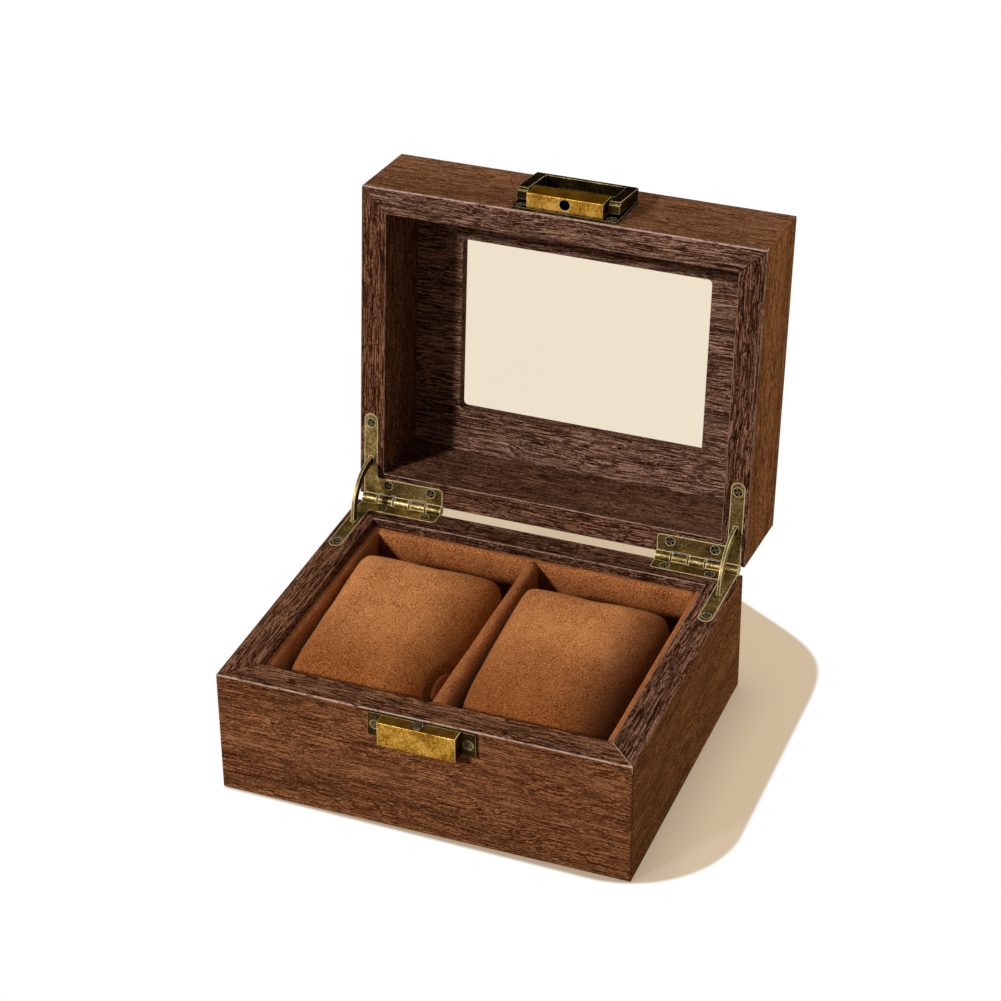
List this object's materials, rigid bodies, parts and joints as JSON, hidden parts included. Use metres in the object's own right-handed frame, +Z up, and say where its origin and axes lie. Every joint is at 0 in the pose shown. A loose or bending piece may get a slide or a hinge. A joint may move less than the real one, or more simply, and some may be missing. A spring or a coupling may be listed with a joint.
{
  "type": "watch box with a hinged window lid",
  "caption": "Small wooden watch box with a glass-topped hinged lid on stay hinges, suede-lined slots, lift-out pillows and a swing-bail latch.",
  "frame": {"origin": "centre of the base's underside", "axes": "+X to the box's right side as seen from the front, +Y to the back (hinge side), +Z up"},
  "size_m": [0.16, 0.1889, 0.1889],
  "materials": {
    "walnut_veneer": "dark walnut veneer, open-pored, satin",
    "floor_board": "raw fibreboard",
    "felt": "dark felt",
    "suede_lining": "tan-brown suede",
    "suede_pillow": "tan-brown suede",
    "glass": "clear",
    "antique_brass": "antique brass, edges rubbed bright",
    "aged_brass": "mottled aged brass",
    "dark_bronze": "dark bronze",
    "stud_steel": "dull steel",
    "dark_screws": "blackened steel"
  },
  "bodies": {
    "base": {"base_front": "walnut_veneer", "base_back": "walnut_veneer", "base_left": "walnut_veneer", "base_right": "walnut_veneer", "base_floor": "floor_board", "base_felt": "felt", "liner_front": "suede_lining", "liner_back": "suede_lining", "liner_left": "suede_lining", "liner_right": "suede_lining", "liner_floor": "suede_lining", "divider": "suede_lining", "hinge_left_base_leaf": "antique_brass", "hinge_left_pin": "antique_brass", "hinge_left_base_screws": "dark_screws", "hinge_right_base_leaf": "antique_brass", "hinge_right_pin": "antique_brass", "hinge_right_base_screws": "dark_screws", "catch_plate": "dark_bronze", "catch_block": "aged_brass", "catch_stud": "stud_steel", "catch_screws": "dark_screws"},
    "lid": {"lid_front": "walnut_veneer", "lid_back": "walnut_veneer", "lid_left": "walnut_veneer", "lid_right": "walnut_veneer", "lid_panel": "walnut_veneer", "window_glass": "glass", "hinge_left_lid_leaf": "antique_brass", "hinge_left_lid_screws": "dark_screws", "hinge_right_lid_leaf": "antique_brass", "hinge_right_lid_screws": "dark_screws", "latch_plate": "dark_bronze", "latch_block": "aged_brass", "latch_pins": "dark_bronze", "latch_screws": "dark_screws"},
    "left_stay": {"hinge_left_stay": "antique_brass"},
    "right_stay": {"hinge_right_stay": "antique_brass"},
    "bail": {"latch_bail": "dark_bronze"},
    "left_pillow": {"pillow_left": "suede_pillow"},
    "right_pillow": {"pillow_right": "suede_pillow"}
  },
  "joints": [
    {"name": "lid_hinge", "type": "hinge", "parent": "base", "child": "lid", "pos_m": [0, 0.0661, 0.0516], "axis": [1, 0, 0], "range_deg": [0, 95.3]},
    {"name": "left_stay_swing", "type": "hinge", "parent": "base", "child": "left_stay", "pos_m": [-0.0752, 0.0661, 0.0516], "axis": [1, 0, 0], "range_deg": [0, 47.65]},
    {"name": "right_stay_swing", "type": "hinge", "parent": "base", "child": "right_stay", "pos_m": [0.0752, 0.0661, 0.0516], "axis": [1, 0, 0], "range_deg": [0, 47.65]},
    {"name": "bail_swing", "type": "hinge", "parent": "lid", "child": "bail", "pos_m": [0.0012, 0.08563, 0.18637], "axis": [1, 0, 0], "range_deg": [0, 183.8]},
    {"name": "left_pillow_lift", "type": "slide", "parent": "base", "child": "left_pillow", "axis": [0, 0, 1], "range_m": [0, 0.033]},
    {"name": "right_pillow_lift", "type": "slide", "parent": "base", "child": "right_pillow", "axis": [0, 0, 1], "range_m": [0, 0.033]}
  ],
  "couplings": [
    {"joint": "left_stay_swing", "follows": "lid_hinge", "ratio": 0.5},
    {"joint": "right_stay_swing", "follows": "lid_hinge", "ratio": 0.5}
  ]
}
